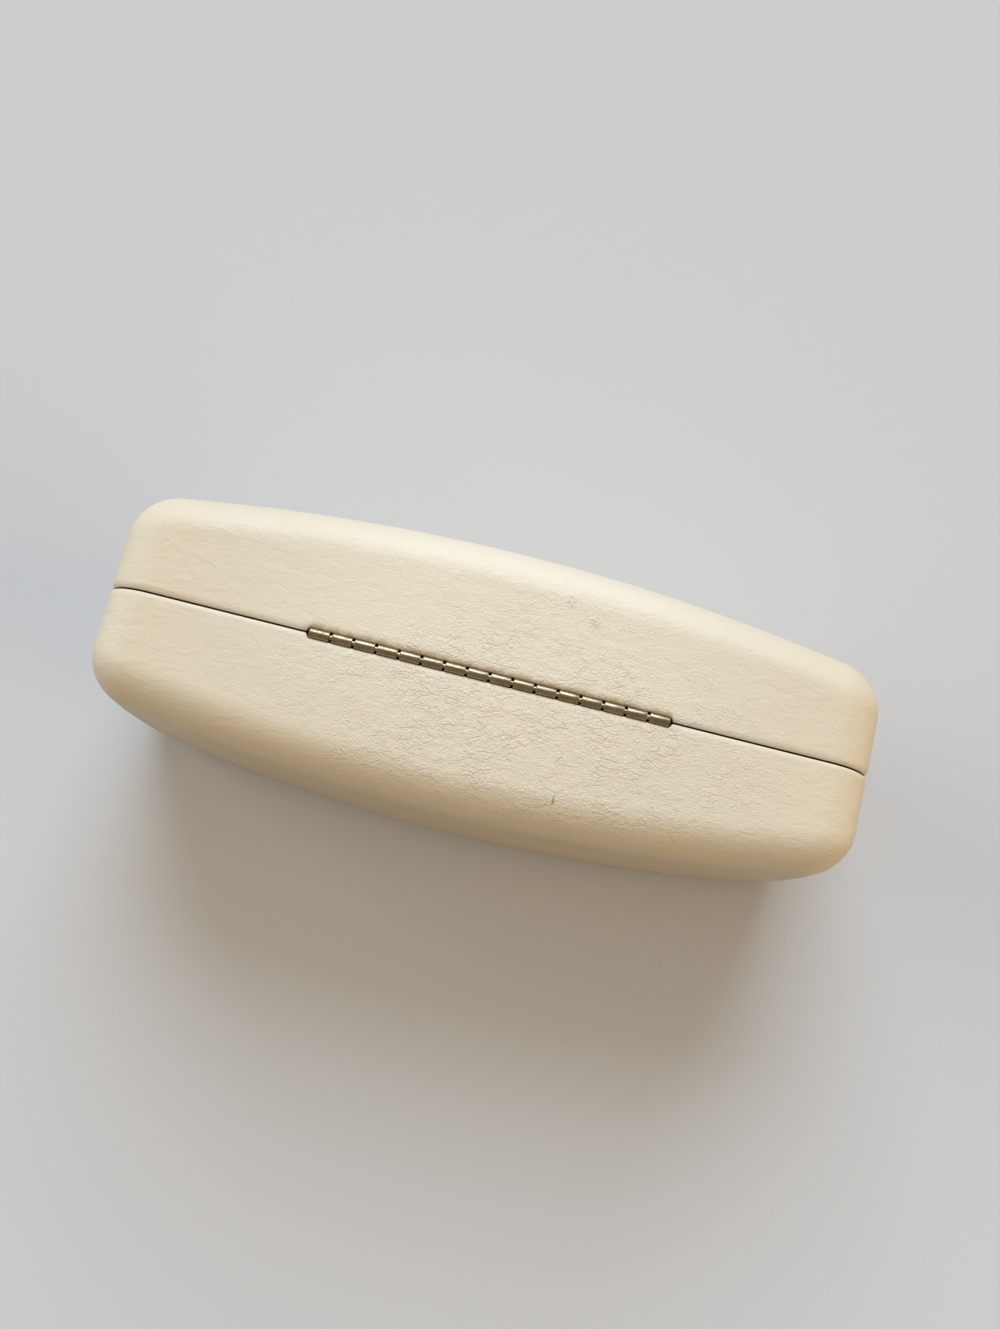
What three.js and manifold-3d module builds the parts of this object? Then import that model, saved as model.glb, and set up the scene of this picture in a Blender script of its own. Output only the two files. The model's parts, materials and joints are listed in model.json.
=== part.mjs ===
// Clamshell sunglasses case: two alike pressed-steel halves wrapped in leatherette and lined with
// velour, joined along the back by a rolled piano hinge and snapped shut or open by two spring clips.
// Millimetres, +Z up. The closed case stands on its front wall with the hinge on top: X runs along
// the hinge, Y across the two halves, and the origin is under the middle of the front wall.

import * as THREE from "three";
import { mergeVertices } from "three/addons/utils/BufferGeometryUtils.js";
import Module from "manifold-3d";

const wasm = await Module();
wasm.setup();

// Overall form of the closed case
const LENGTH = 170; // end to end, along the hinge
const DEPTH = 68; // front wall to back wall
const THICKNESS = 60; // crown to crown
const SEAM_GAP = 0.4; // between the two rims
const CROWN_RADIUS = 445; // arch of each crown along the length
const CROSS_RADIUS = 1200; // slight arch of each crown from front to back
const EDGE_RADIUS = 9.1; // where the walls turn into the crown
const CORNER_RADIUS = 9.9; // upright corners, in plan
const END_RADIUS = 254; // bow of the two end walls, in plan
const RIM_WIDTH = 1.8; // over which a wall rolls in to the seam
const RIM_HEIGHT = 0.6; // how far a wall's edge drops at the seam

// Layers of a half, from the outside in
const COVER_THICKNESS = 0.6; // leatherette
const PADDING_THICKNESS = 1.0; // foam under the crown's leatherette
const SHELL_THICKNESS = 0.4; // pressed steel
const LINING_THICKNESS = 1.2; // velour on a formed tray
const BOND_LINE = 0.1; // glue or weld between layers
const LINING_CLEARANCE = 0.3; // behind the lining's walls
const HEM_LENGTH = 6; // leatherette turned in round the rim
const LINING_STEP = 1.6; // from the rim down to the lining's edge

// Piano hinge
const KNUCKLE_COUNT = 16; // shared by both leaves
const KNUCKLE_PITCH = 4.89;
const KNUCKLE_GAP = 0.6;
const LEAF_THICKNESS = 0.45;
const LEAF_WIDTH = 14; // from the pin's axis
const LEAF_CORNER = 2;
const PIN_DIAMETER = 1.1;
const PIN_CLEARANCE = 0.1; // round the pin
const PIN_RECESS = 0.3; // pin's ends below the hinge's ends
const CURL_ANGLE = 285; // degrees that a knuckle is rolled round the pin
const HINGE_CLEARANCE = 0.1; // between the knuckles and what they turn past
const RELIEF_RAMP = 0.8; // over which the rims run back from the hinge to the seam

// Spring clips, hooked over tabs that are lanced out of the leaves
const TAB_OFFSET = 4; // from the pin's axis to a tab's near face
const TAB_WIDTH = 12;
const TAB_HEIGHT = 2;
const CLIP_SPREAD = 20; // from the middle of the hinge to each clip
const CLIP_WIDTH = 10;
const CLIP_THICKNESS = 0.35;
const CLIP_RISE = 1.5; // bow of a clip between its legs
const CLIP_CLEARANCE = 0.1;

// Cloth gusset over the hinge, inside the case
const GUSSET_THICKNESS = 0.7;
const GUSSET_MARGIN = 7.5; // past the hinge at each end
const GUSSET_FLANGE = 5; // glued to each lining
const GUSSET_SLACK = 0.9; // bow past the clips
const NOTCH_CLEARANCE = 2.8; // from the clips to the lining's edge along the hinge

// Fineness of the curved surfaces
const CORNER_STEPS = 4;
const END_STEPS = 4;
const EDGE_STEPS = 4;
const RIM_STEPS = 3;
const CURL_STEPS = 10;
const PIN_SIDES = 12;
const CROWN_SCALES = [0.7, 0.35]; // rings on the crown, as shares of its outline
const LEAST_CORNER = 0.8;

// Places that follow from the sizes above: offsets are measured inwards from the outer surface
const HINGE_HALF = (KNUCKLE_COUNT * KNUCKLE_PITCH - KNUCKLE_GAP) / 2;
const BORE_RADIUS = PIN_DIAMETER / 2 + PIN_CLEARANCE;
const KNUCKLE_RADIUS = BORE_RADIUS + LEAF_THICKNESS;
const SHELL_OUTER = COVER_THICKNESS + BOND_LINE;
const SHELL_INNER = SHELL_OUTER + SHELL_THICKNESS;
const LEAF_OUTER = SHELL_INNER + BOND_LINE;
const LEAF_INNER = LEAF_OUTER + LEAF_THICKNESS;
const HEM_OUTER = SHELL_INNER + BOND_LINE;
const HEM_INNER = HEM_OUTER + COVER_THICKNESS;
const LINING_OUTER = Math.max(HEM_INNER, LEAF_INNER) + LINING_CLEARANCE;
const LINING_INNER = LINING_OUTER + LINING_THICKNESS;
const PADDING_TOP = COVER_THICKNESS + BOND_LINE;
const PADDING_BOTTOM = PADDING_TOP + PADDING_THICKNESS;
const SHELL_TOP = PADDING_BOTTOM + BOND_LINE;
const SHELL_BOTTOM = SHELL_TOP + SHELL_THICKNESS;
const LINING_TOP = SHELL_BOTTOM + BOND_LINE;
const LINING_BOTTOM = LINING_TOP + LINING_THICKNESS;
const AXIS_Z = DEPTH - LEAF_INNER + KNUCKLE_RADIUS;
const LEAF_Z = DEPTH - LEAF_INNER; // inner face of both leaves
const HINGE_RELIEF = KNUCKLE_RADIUS + HINGE_CLEARANCE;
const CLIP_HALF = TAB_OFFSET + LEAF_THICKNESS + CLIP_CLEARANCE; // inside of a clip's legs
const CLIP_FOOT_Z = LEAF_Z - TAB_HEIGHT - CLIP_CLEARANCE; // where a clip passes the tabs' tips
const NOTCH_HEIGHT = CLIP_HALF + CLIP_THICKNESS + NOTCH_CLEARANCE;

const material = (color, roughness, metalness) =>
  new THREE.MeshStandardMaterial({ color, roughness, metalness, flatShading: true });
const LEATHERETTE = material(0xded3bd, 0.55, 0);
const FOAM = material(0xd7d4cb, 0.95, 0);
const STEEL = material(0xaeaeb0, 0.45, 0.9);
const HINGE_METAL = material(0xa29276, 0.3, 0.9);
const SPRING_STEEL = material(0x595e65, 0.35, 0.9);
const VELOUR = material(0x95816a, 0.95, 0);

// Solids: manifold-3d joins and cuts closed three.js geometries.
function toSolid(geometry) {
  const bare = geometry.clone();
  bare.deleteAttribute("normal");
  bare.deleteAttribute("uv");
  const merged = mergeVertices(bare, 1e-4);
  return new wasm.Manifold(
    new wasm.Mesh({
      numProp: 3,
      vertProperties: merged.attributes.position.array,
      triVerts: new Uint32Array(merged.index.array),
    }),
  );
}

function toGeometry(solid) {
  const mesh = solid.getMesh();
  const geometry = new THREE.BufferGeometry();
  geometry.setAttribute("position", new THREE.BufferAttribute(mesh.vertProperties, 3));
  geometry.setIndex(new THREE.BufferAttribute(mesh.triVerts, 1));
  geometry.computeVertexNormals();
  return geometry;
}

function box(xRange, yRange, zRange) {
  const size = [xRange, yRange, zRange].map(([low, high]) => high - low);
  const middle = [xRange, yRange, zRange].map(([low, high]) => (low + high) / 2);
  return new THREE.BoxGeometry(...size).translate(...middle);
}

// A section drawn in the YZ plane, extruded along the hinge from a starting place.
function alongHinge(shape, start, length) {
  const upright = new THREE.Matrix4().makeBasis(
    new THREE.Vector3(0, 1, 0),
    new THREE.Vector3(0, 0, 1),
    new THREE.Vector3(1, 0, 0),
  );
  const settings = { depth: length, bevelEnabled: false, curveSegments: 8 };
  return new THREE.ExtrudeGeometry(shape, settings).applyMatrix4(upright).translate(start, 0, 0);
}

// Dished form of a half: every layer is the same form, set in from the outer surface.
const sag = (distance, radius) => radius - Math.sqrt(radius ** 2 - distance ** 2);

// Height above the seam plane of the outer surface's crown.
const crownHeight = (x, z) =>
  THICKNESS / 2 - sag(x, CROWN_RADIUS) - sag(z - DEPTH / 2, CROSS_RADIUS);

// Plan outline, set in from the outer wall: straight front and back, bowed ends and round corners that
// are tangent to both. The count of points is the same at every inset, so outlines can be joined.
function planOutline(inset) {
  const halfDepth = DEPTH / 2 - inset;
  const corner = Math.max(CORNER_RADIUS - inset, LEAST_CORNER);
  const end = END_RADIUS - inset;
  const endX = LENGTH / 2 - END_RADIUS;
  const cornerZ = halfDepth - corner;
  const cornerX = endX + Math.sqrt((end - corner) ** 2 - cornerZ ** 2);
  const endAngle = Math.asin(cornerZ / (end - corner));
  const rampEnd = HINGE_HALF + RELIEF_RAMP;
  const stations = [HINGE_HALF / 2, HINGE_HALF, rampEnd, (rampEnd + cornerX) / 2];
  const points = [];
  const add = (x, z, besideHinge = false) => points.push({ x, z: z + DEPTH / 2, besideHinge });

  for (const x of [...stations.map((s) => -s).reverse(), 0, ...stations])
    add(x, halfDepth, Math.abs(x) <= HINGE_HALF);
  for (const side of [1, -1]) {
    const quarter = [];
    for (let k = 0; k <= CORNER_STEPS; k++) {
      const angle = THREE.MathUtils.lerp(Math.PI / 2, endAngle, k / CORNER_STEPS);
      quarter.push([cornerX + corner * Math.cos(angle), cornerZ + corner * Math.sin(angle)]);
    }
    for (const [x, z] of quarter) add(side * x, side * z);
    for (let k = 1; k < END_STEPS; k++) {
      const angle = THREE.MathUtils.lerp(endAngle, -endAngle, k / END_STEPS);
      add(side * (endX + end * Math.cos(angle)), side * end * Math.sin(angle));
    }
    for (const [x, z] of quarter.reverse()) add(side * x, -side * z);
    if (side === 1)
      for (const x of [...stations.toReversed(), 0, ...stations.map((s) => -s)]) add(x, -halfDepth);
  }
  return points;
}

// A ring of vectors on a plan outline, at a height that may change along it.
const ring = (inset, height) =>
  planOutline(inset).map((p) => new THREE.Vector3(p.x, height(p), p.z));

// Rings of a dished surface from its edge to the middle of its crown. wall and crown are its offsets
// from the outer surface, and edge gives the height of its edge; with no edge it starts on the fillet.
function dish(wall, crown, edge, firstStep = 0) {
  const radius = EDGE_RADIUS - wall;
  const rings = edge ? [ring(wall, edge)] : [];
  for (let k = firstStep; k <= EDGE_STEPS; k++) {
    const turn = ((Math.PI / 2) * k) / EDGE_STEPS;
    const drop = crown + radius * (1 - Math.sin(turn));
    rings.push(ring(wall + radius * (1 - Math.cos(turn)), (p) => crownHeight(p.x, p.z) - drop));
  }
  const flat = planOutline(EDGE_RADIUS);
  for (const scale of [...CROWN_SCALES, 0])
    rings.push(
      flat.slice(0, scale ? flat.length : 1).map((p) => {
        const x = p.x * scale;
        const z = DEPTH / 2 + (p.z - DEPTH / 2) * scale;
        return new THREE.Vector3(x, crownHeight(x, z) - crown, z);
      }),
    );
  return rings;
}

// A closed skin over rings that start and end in a single point. Each four-sided patch is split along
// its shorter diagonal, so that layers of the same form stay clear of each other.
function skin(rings) {
  const points = rings.flat();
  const index = [];
  let start = 0;
  for (let r = 0; r + 1 < rings.length; r++) {
    const near = rings[r].length;
    const far = rings[r + 1].length;
    const count = Math.max(near, far);
    for (let k = 0; k < count; k++) {
      const next = (k + 1) % count;
      const [a, b] = [start + (k % near), start + (next % near)];
      const [c, d] = [start + near + (k % far), start + near + (next % far)];
      if (near === 1) index.push(a, c, d);
      else if (far === 1) index.push(a, c, b);
      else if (points[a].distanceTo(points[d]) < points[b].distanceTo(points[c])) {
        index.push(a, c, d, a, d, b);
      } else index.push(a, c, b, b, c, d);
    }
    start += near;
  }
  const geometry = new THREE.BufferGeometry().setFromPoints(points);
  geometry.setIndex(index);
  geometry.computeVertexNormals();
  return geometry;
}

const rimHeight = (p) => (p.besideHinge ? HINGE_RELIEF : SEAM_GAP / 2);

// Leatherette: covers the outside, rolls over the rim and is turned in behind the shell's edge.
function coverGeometry() {
  const drop = Math.min(RIM_HEIGHT, HEM_INNER - COVER_THICKNESS);
  const turnIn = HEM_INNER - drop;
  const rings = dish(0, 0, (p) => rimHeight(p) + RIM_WIDTH).reverse();
  for (let k = 1; k <= RIM_STEPS; k++) {
    const turn = ((Math.PI / 2) * k) / RIM_STEPS;
    const rise = RIM_WIDTH * (1 - Math.sin(turn));
    rings.push(ring(drop * (1 - Math.cos(turn)), (p) => rimHeight(p) + rise));
  }
  for (let k = 1; k <= RIM_STEPS; k++) {
    const turn = ((Math.PI / 2) * k) / RIM_STEPS;
    const rise = turnIn * (1 - Math.cos(turn));
    rings.push(ring(drop + turnIn * Math.sin(turn), (p) => rimHeight(p) + rise));
  }
  rings.push(ring(HEM_INNER, (p) => rimHeight(p) + HEM_LENGTH));
  rings.push(ring(HEM_OUTER, (p) => rimHeight(p) + HEM_LENGTH));
  rings.push(ring(HEM_OUTER, (p) => rimHeight(p) + COVER_THICKNESS));
  rings.push(...dish(COVER_THICKNESS, COVER_THICKNESS, (p) => rimHeight(p) + COVER_THICKNESS));
  const leafRoom = box(
    [-HINGE_HALF - HINGE_CLEARANCE, HINGE_HALF + HINGE_CLEARANCE],
    [0, LEAF_WIDTH + HINGE_CLEARANCE],
    [DEPTH - HEM_INNER - BOND_LINE, DEPTH - SHELL_INNER],
  );
  return toGeometry(toSolid(skin(rings)).subtract(toSolid(leafRoom)));
}

// Foam sheet between the crown's leatherette and the shell; it ends half way round the edge.
function paddingGeometry() {
  const firstStep = Math.round(EDGE_STEPS / 2);
  const top = dish(SHELL_OUTER, PADDING_TOP, null, firstStep);
  const bottom = dish(SHELL_OUTER, PADDING_BOTTOM, null, firstStep);
  return skin([...top.reverse(), ...bottom]);
}

// Pressed steel half; its edge lies in the fold of the leatherette.
function shellGeometry() {
  const edge = (p) => rimHeight(p) + COVER_THICKNESS + BOND_LINE;
  const outside = dish(SHELL_OUTER, SHELL_TOP, edge);
  return skin([...outside.reverse(), ...dish(SHELL_INNER, SHELL_BOTTOM, edge)]);
}

// Velour-covered tray; its edge is notched along the hinge to clear the spring clips.
function liningGeometry() {
  const edge = (p) => (p.besideHinge ? NOTCH_HEIGHT : SEAM_GAP / 2 + LINING_STEP);
  const outside = dish(LINING_OUTER, LINING_TOP, edge);
  return skin([...outside.reverse(), ...dish(LINING_INNER, LINING_BOTTOM, edge)]);
}

// Hinge leaf: a plate welded inside the back wall, with every second finger rolled round the pin and
// two tabs lanced inwards for the spring clips. Turned half round, it is the other half's leaf too.
function leafGeometry() {
  const rootY = KNUCKLE_RADIUS + HINGE_CLEARANCE;
  const plate = new THREE.Shape();
  plate.moveTo(-HINGE_HALF, rootY);
  plate.lineTo(HINGE_HALF, rootY);
  plate.lineTo(HINGE_HALF, LEAF_WIDTH - LEAF_CORNER);
  plate.absarc(HINGE_HALF - LEAF_CORNER, LEAF_WIDTH - LEAF_CORNER, LEAF_CORNER, 0, Math.PI / 2, false);
  plate.lineTo(-HINGE_HALF + LEAF_CORNER, LEAF_WIDTH);
  plate.absarc(LEAF_CORNER - HINGE_HALF, LEAF_WIDTH - LEAF_CORNER, LEAF_CORNER, Math.PI / 2, Math.PI, false);
  const settings = { depth: LEAF_THICKNESS, bevelEnabled: false, curveSegments: 4 };
  let leaf = toSolid(new THREE.ExtrudeGeometry(plate, settings).translate(0, 0, LEAF_Z));

  const curl = (radius, turned) => {
    const angle = -Math.PI / 2 - THREE.MathUtils.degToRad(turned);
    return new THREE.Vector2(radius * Math.cos(angle), AXIS_Z + radius * Math.sin(angle));
  };
  const turns = Array.from({ length: CURL_STEPS + 1 }, (_, k) => (CURL_ANGLE * k) / CURL_STEPS);
  const finger = new THREE.Shape([
    new THREE.Vector2(rootY + LEAF_THICKNESS, LEAF_Z + LEAF_THICKNESS),
    ...turns.map((turned) => curl(BORE_RADIUS, turned)),
    ...turns.toReversed().map((turned) => curl(KNUCKLE_RADIUS, turned)),
    new THREE.Vector2(rootY + LEAF_THICKNESS, LEAF_Z),
  ]);
  for (let k = 1; k < KNUCKLE_COUNT; k += 2) {
    const start = -HINGE_HALF + k * KNUCKLE_PITCH;
    leaf = leaf.add(toSolid(alongHinge(finger, start, KNUCKLE_PITCH - KNUCKLE_GAP)));
  }

  for (const side of [-1, 1]) {
    const xRange = [side * CLIP_SPREAD - TAB_WIDTH / 2, side * CLIP_SPREAD + TAB_WIDTH / 2];
    const tabBack = TAB_OFFSET + LEAF_THICKNESS;
    const window = box(xRange, [tabBack, tabBack + TAB_HEIGHT], [LEAF_Z - 1, LEAF_Z + 1]);
    const tab = box(xRange, [TAB_OFFSET, tabBack], [LEAF_Z - TAB_HEIGHT, LEAF_Z + LEAF_THICKNESS]);
    leaf = leaf.subtract(toSolid(window)).add(toSolid(tab));
  }
  return toGeometry(leaf);
}

function pinGeometry() {
  const length = 2 * (HINGE_HALF - PIN_RECESS);
  return new THREE.CylinderGeometry(PIN_DIAMETER / 2, PIN_DIAMETER / 2, length, PIN_SIDES)
    .rotateZ(Math.PI / 2)
    .translate(0, 0, AXIS_Z);
}

// Spring clip: a bowed strip whose two legs grip the tabs of both leaves and pull them together.
// The tabs lie inside the pin, so the pull shuts the case, and opens it once it has passed the pin.
function clipGeometry(middle) {
  const outer = CLIP_HALF + CLIP_THICKNESS;
  const legTop = LEAF_Z - CLIP_CLEARANCE;
  const section = new THREE.Shape();
  section.moveTo(-CLIP_HALF, legTop);
  section.absellipse(0, CLIP_FOOT_Z, CLIP_HALF, CLIP_RISE, Math.PI, 2 * Math.PI, false, 0);
  section.lineTo(CLIP_HALF, legTop);
  section.lineTo(outer, legTop);
  section.absellipse(0, CLIP_FOOT_Z, outer, CLIP_RISE + CLIP_THICKNESS, 0, Math.PI, true, 0);
  section.lineTo(-outer, legTop);
  return alongHinge(section, middle - CLIP_WIDTH / 2, CLIP_WIDTH);
}

// Gusset: a strip of lining cloth glued to both linings, bowed inwards over the spring clips.
function gussetGeometry() {
  const flangeStart = NOTCH_HEIGHT + 0.5;
  const flangeEnd = NOTCH_HEIGHT + GUSSET_FLANGE;
  const flangeZ = DEPTH - LINING_INNER - BOND_LINE;
  const bowZ = CLIP_FOOT_Z - CLIP_RISE - CLIP_THICKNESS - GUSSET_SLACK;
  const section = new THREE.Shape();
  const half = flangeStart / 2;
  const under = GUSSET_THICKNESS;
  section.moveTo(-flangeEnd, flangeZ);
  section.lineTo(-flangeEnd, flangeZ - under);
  section.lineTo(-flangeStart, flangeZ - under);
  section.bezierCurveTo(-half, flangeZ - under, -half, bowZ - under, 0, bowZ - under);
  section.bezierCurveTo(half, bowZ - under, half, flangeZ - under, flangeStart, flangeZ - under);
  section.lineTo(flangeEnd, flangeZ - under);
  section.lineTo(flangeEnd, flangeZ);
  section.lineTo(flangeStart, flangeZ);
  section.bezierCurveTo(half, flangeZ, half, bowZ, 0, bowZ);
  section.bezierCurveTo(-half, bowZ, -half, flangeZ, -flangeStart, flangeZ);
  const halfLength = HINGE_HALF + GUSSET_MARGIN;
  return alongHinge(section, -halfLength, 2 * halfLength);
}

function piece(name, geometry, finish) {
  const mesh = new THREE.Mesh(geometry, finish);
  mesh.name = name;
  return mesh;
}

// The base stands at +Y. The lid is the same half, turned about the upright axis.
function half(name) {
  const group = new THREE.Group();
  group.add(
    piece(`${name}_cover`, coverGeometry(), LEATHERETTE),
    piece(`${name}_padding`, paddingGeometry(), FOAM),
    piece(`${name}_shell`, shellGeometry(), STEEL),
    piece(`${name}_lining`, liningGeometry(), VELOUR),
    piece(`${name}_hinge_leaf`, leafGeometry(), HINGE_METAL),
  );
  return group;
}

const base = half("base");
const lid = half("lid");
lid.rotation.z = Math.PI;

const sunglassesCase = new THREE.Group();
sunglassesCase.add(
  base,
  lid,
  piece("hinge_pin", pinGeometry(), HINGE_METAL),
  piece("snap_spring_left", clipGeometry(-CLIP_SPREAD), SPRING_STEEL),
  piece("snap_spring_right", clipGeometry(CLIP_SPREAD), SPRING_STEEL),
  piece("hinge_gusset", gussetGeometry(), VELOUR),
);

export default sunglassesCase;
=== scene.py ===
"""Dresses a packed clamshell sunglasses case: leatherette covers, foam, velour, piano hinge and stage.

Metres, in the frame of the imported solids: X along the hinge, Y from the lid to the base, Z up from the
front walls, on which the closed case stands, to the hinge.
"""

import json
import math
from types import SimpleNamespace

import bmesh
import bpy
import numpy as np
from bpy.props import FloatProperty, FloatVectorProperty, IntProperty, PointerProperty
from mathutils import Matrix, Vector, noise


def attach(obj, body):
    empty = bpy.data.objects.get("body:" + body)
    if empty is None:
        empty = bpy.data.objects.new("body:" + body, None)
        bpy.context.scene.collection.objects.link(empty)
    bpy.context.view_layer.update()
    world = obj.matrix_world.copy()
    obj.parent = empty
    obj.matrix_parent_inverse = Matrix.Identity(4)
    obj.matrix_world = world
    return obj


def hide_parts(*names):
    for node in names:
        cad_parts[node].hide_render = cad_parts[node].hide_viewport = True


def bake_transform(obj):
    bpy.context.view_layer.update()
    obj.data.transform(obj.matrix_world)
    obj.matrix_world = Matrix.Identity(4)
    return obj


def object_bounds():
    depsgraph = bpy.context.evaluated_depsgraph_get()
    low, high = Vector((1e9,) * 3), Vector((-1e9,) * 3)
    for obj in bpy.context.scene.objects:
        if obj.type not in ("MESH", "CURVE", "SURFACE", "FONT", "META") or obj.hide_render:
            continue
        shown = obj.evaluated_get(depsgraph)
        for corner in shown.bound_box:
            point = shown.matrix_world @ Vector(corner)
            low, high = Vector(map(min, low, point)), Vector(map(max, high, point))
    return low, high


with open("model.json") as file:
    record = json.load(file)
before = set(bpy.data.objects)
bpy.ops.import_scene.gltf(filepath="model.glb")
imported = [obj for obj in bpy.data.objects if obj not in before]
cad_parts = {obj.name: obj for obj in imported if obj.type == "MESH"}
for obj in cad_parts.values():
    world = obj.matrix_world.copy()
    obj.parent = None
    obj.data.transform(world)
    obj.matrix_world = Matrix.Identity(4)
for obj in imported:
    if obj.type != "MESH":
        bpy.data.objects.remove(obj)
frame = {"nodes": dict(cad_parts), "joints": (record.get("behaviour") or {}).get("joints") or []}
CAD_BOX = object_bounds()
CAD_SIZE = CAD_BOX[1] - CAD_BOX[0]
AXIS_Z = frame["joints"][0]["pos_m"][2]
PHOTO_WIDTH, PHOTO_HEIGHT = 1000, 1329
MM = 0.001
SAME_POINT = 1e-6
SHARP_EDGE = math.radians(50)
LEAF_SHARP_EDGE = math.radians(40)
HALVES = ("base", "lid")

bl_info = {
    "name": "Sunglasses Case",
    "version": (1, 0, 0),
    "blender": (4, 5, 0),
    "location": "3D View > Sidebar > Case",
    "description": "Leatherette, velour and hinge pieces of a clamshell sunglasses case",
    "category": "Object",
}


# Settings


def distance(name, millimetres, description):
    """A length, written in millimetres and kept in metres."""
    return FloatProperty(
        name=name,
        description=description,
        default=millimetres * MM,
        min=0.0,
        precision=5,
        subtype="DISTANCE",
        unit="LENGTH",
    )


def angle(name, degrees, description):
    """An angle, written in degrees and kept in radians."""
    return FloatProperty(
        name=name, description=description, default=math.radians(degrees), subtype="ANGLE", unit="ROTATION"
    )


def tint(name, rgb, description):
    """A linear colour."""
    return FloatVectorProperty(
        name=name, description=description, default=rgb, min=0.0, max=1.0, size=3, subtype="COLOR"
    )


def amount(name, default, description, high=1000.0):
    return FloatProperty(name=name, description=description, default=default, min=0.0, max=high)


class CaseForm(bpy.types.PropertyGroup):
    """Outer form of the closed case."""

    length: distance("Length", CAD_SIZE.x / MM, "End to end, along the hinge")
    depth: distance("Depth", 68, "Front wall to back wall")
    thickness: distance("Thickness", CAD_SIZE.y / MM, "Crown to crown")
    seam_gap: distance("Seam gap", 0.4, "Between the two rims")
    crown_radius: distance("Crown radius", 445, "Arch of each crown along the length")
    cross_radius: distance("Cross radius", 1200, "Slight arch of each crown from front to back")
    edge_radius: distance("Edge radius", 9.1, "Where the walls turn into the crown")
    corner_radius: distance("Corner radius", 9.9, "Upright corners, in plan")
    end_radius: distance("End radius", 254, "Bow of the two end walls, in plan")
    base_rim: distance("Base rim", 1.5, "Over which the base's walls roll in to the seam")
    lid_rim: distance("Lid rim", 1.2, "Over which the lid's walls roll in to the seam")
    rim_height: distance("Rim height", 0.6, "How far a wall's edge drops at the seam")


class CaseLayers(bpy.types.PropertyGroup):
    """Layers of a half, from the outside in."""

    cover: distance("Cover", 0.6, "Leatherette")
    padding: distance("Padding", 1.0, "Foam under the crown's leatherette")
    shell: distance("Shell", 0.4, "Pressed steel")
    lining: distance("Lining", 1.2, "Velour on a formed tray")
    bond_line: distance("Bond line", 0.1, "Glue or weld between layers")
    lining_clearance: distance("Lining clearance", 0.3, "Behind the lining's walls")
    hem_length: distance("Hem", 6, "Leatherette turned in round the rim")
    lining_step: distance("Lining step", 1.6, "From the rim down to the lining's edge")
    swell: distance("Swell", 0.07, "Height of the leatherette's soft unevenness")


class PianoHinge(bpy.types.PropertyGroup):
    """Rolled hinge along the back."""

    knuckle_count: IntProperty(name="Knuckles", description="Shared by both leaves", default=16, min=2)
    knuckle_pitch: distance("Pitch", 4.89, "From one knuckle to the next")
    knuckle_gap: distance("Knuckle gap", 0.6, "Between neighbouring knuckles")
    leaf_thickness: distance("Leaf thickness", 0.45, "Sheet that the leaves are made of")
    leaf_width: distance("Leaf width", 14, "From the pin's axis")
    pin_diameter: distance("Pin diameter", 1.1, "Wire through the knuckles")
    pin_clearance: distance("Pin clearance", 0.1, "Round the pin")
    pin_recess: distance("Pin recess", 0.3, "Pin's ends below the hinge's ends")
    curl_angle: angle("Curl", 285, "How far a knuckle is rolled round the pin")
    edge_round: distance("Edge round", 0.09, "Worn edges of the knuckles")
    clearance: distance("Hinge clearance", 0.04, "Between the knuckles and what they turn past")
    relief_ramp: distance("Relief ramp", 0.8, "Over which the rims run back to the seam")
    tab_offset: distance("Tab offset", 4, "From the pin's axis to a tab's near face")
    tab_width: distance("Tab width", 12, "Along the hinge")
    tab_height: distance("Tab height", 2, "Into the case")


class ClipsAndGusset(bpy.types.PropertyGroup):
    """Spring clips and the cloth over them, inside the case."""

    clip_spread: distance("Clip spread", 20, "From the middle of the hinge to each clip")
    clip_width: distance("Clip width", 10, "Along the hinge")
    clip_thickness: distance("Clip thickness", 0.35, "Spring strip")
    clip_rise: distance("Clip rise", 1.5, "Bow of a clip between its legs")
    clip_clearance: distance("Clip clearance", 0.1, "From the tabs")
    gusset_thickness: distance("Gusset thickness", 0.7, "Velour strip")
    gusset_margin: distance("Gusset margin", 7.5, "Past the hinge at each end")
    gusset_flange: distance("Gusset flange", 5, "Glued to each lining")
    gusset_lap: distance("Gusset lap", 0.5, "From the lining's edge to where the strip begins to bow")
    gusset_slack: distance("Gusset slack", 0.9, "Bow past the clips")
    notch_clearance: distance("Notch clearance", 2.8, "From the clips to the lining's edge")


class CaseFinishes(bpy.types.PropertyGroup):
    """Colours of the materials."""

    leather: tint("Leatherette", (0.72, 0.65, 0.505), "Ivory leatherette")
    # Warmer towards the ends and in clouds; on the crowns, most of all the lid's, this colour is painted
    # warm shade
    leather_warm_tone_and_shade: tint("Aged leatherette", (0.75, 0.62, 0.42), "Where it has yellowed, at ends and crowns")
    # Painted light: paler over the middle of the base's back wall and its top edge
    leather_painted_light: tint("Rubbed leatherette", (0.81, 0.735, 0.575), "Where handling keeps it pale")
    # Painted shade in the creases and along the base's rims, a stain beside the hinge that is partly painted
    # shade, and a scratch
    leather_shade_and_dirt: tint("Soil", (0.40, 0.30, 0.145), "In the creases and along the rims")
    velour: tint("Velour", (0.30, 0.22, 0.145), "Lining and gusset")
    hinge: tint("Hinge", (0.37, 0.30, 0.19), "Worn nickel over brass")
    tarnish: tint("Tarnish", (0.10, 0.065, 0.03), "Brown film on the hinge")
    steel: tint("Steel", (0.42, 0.42, 0.43), "Pressed shells")
    spring: tint("Spring steel", (0.10, 0.11, 0.13), "Blued clips")
    foam: tint("Foam", (0.68, 0.66, 0.60), "Padding")


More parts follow.
